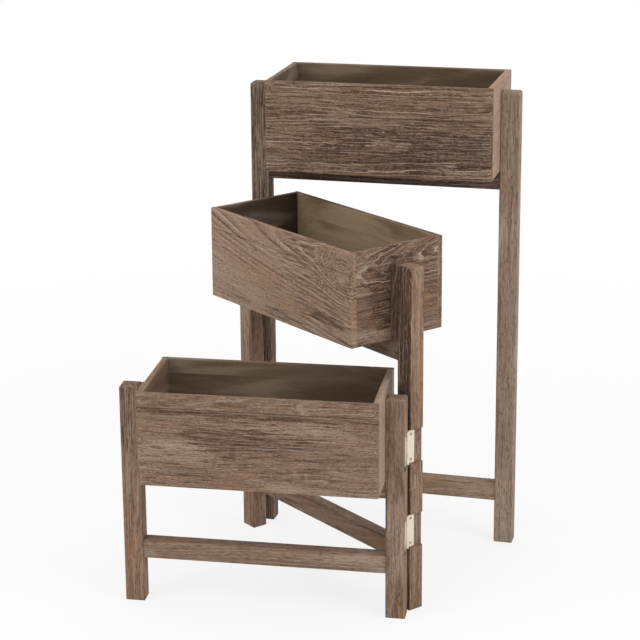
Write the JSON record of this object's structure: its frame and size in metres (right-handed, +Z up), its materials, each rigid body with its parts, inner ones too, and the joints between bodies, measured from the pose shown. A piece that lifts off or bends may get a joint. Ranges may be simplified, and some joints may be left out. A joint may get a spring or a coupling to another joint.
{
  "type": "tiered plant stand",
  "caption": "Folding-screen plant stand: hinged post frames of rising height, each carrying an open planter box between its posts.",
  "frame": {"origin": "middle of the open stand's footprint, on the floor", "axes": "+Z up, +X along the low front frame, -Y towards the side that the stand is seen from"},
  "size_m": [0.6492, 0.5884, 0.87],
  "materials": {
    "frame_wood": "brushed and burnt paulownia, grey brown",
    "box_wood": "brushed and burnt paulownia, grey brown",
    "bottom_wood": "sawn paulownia",
    "fixing_steel": "zinc plated",
    "hinge_steel": "pale plated steel"
  },
  "bodies": {
    "low_frame": {"low_left_post": "frame_wood", "low_right_post": "frame_wood", "low_stretcher": "frame_wood", "low_rail": "frame_wood", "low_spacer": "frame_wood", "low_box_front": "box_wood", "low_box_back": "box_wood", "low_box_left_end": "box_wood", "low_box_right_end": "box_wood", "low_box_bottom": "bottom_wood", "low_box_brads": "fixing_steel", "low_box_screws": "fixing_steel", "low_hinge_screws": "hinge_steel", "low_front_lower_leaf": "hinge_steel", "low_front_upper_leaf": "hinge_steel"},
    "middle_frame": {"middle_left_post": "frame_wood", "middle_right_post": "frame_wood", "middle_stretcher": "frame_wood", "middle_rail": "frame_wood", "middle_spacer": "frame_wood", "middle_box_front": "box_wood", "middle_box_back": "box_wood", "middle_box_left_end": "box_wood", "middle_box_right_end": "box_wood", "middle_box_bottom": "bottom_wood", "middle_box_brads": "fixing_steel", "middle_box_screws": "fixing_steel", "middle_hinge_screws": "hinge_steel", "middle_rear_lower_leaf": "hinge_steel", "middle_rear_lower_pin": "hinge_steel", "middle_rear_upper_leaf": "hinge_steel", "middle_rear_upper_pin": "hinge_steel", "middle_front_lower_leaf": "hinge_steel", "middle_front_lower_pin": "hinge_steel", "middle_front_upper_leaf": "hinge_steel", "middle_front_upper_pin": "hinge_steel"},
    "tall_frame": {"tall_left_post": "frame_wood", "tall_right_post": "frame_wood", "tall_stretcher": "frame_wood", "tall_rail": "frame_wood", "tall_spacer": "frame_wood", "tall_box_front": "box_wood", "tall_box_back": "box_wood", "tall_box_left_end": "box_wood", "tall_box_right_end": "box_wood", "tall_box_bottom": "bottom_wood", "tall_box_brads": "fixing_steel", "tall_box_screws": "fixing_steel", "tall_hinge_screws": "hinge_steel", "tall_rear_lower_leaf": "hinge_steel", "tall_rear_upper_leaf": "hinge_steel"}
  },
  "joints": [
    {"name": "front_hinge", "type": "hinge", "parent": "middle_frame", "child": "low_frame", "pos_m": [0.16663, -0.17724, 0], "axis": [0, 0, 1], "range_deg": [-43, 77]},
    {"name": "rear_hinge", "type": "hinge", "parent": "middle_frame", "child": "tall_frame", "pos_m": [-0.16601, 0.18218, 0], "axis": [0, 0, 1], "range_deg": [-38, 82]}
  ]
}
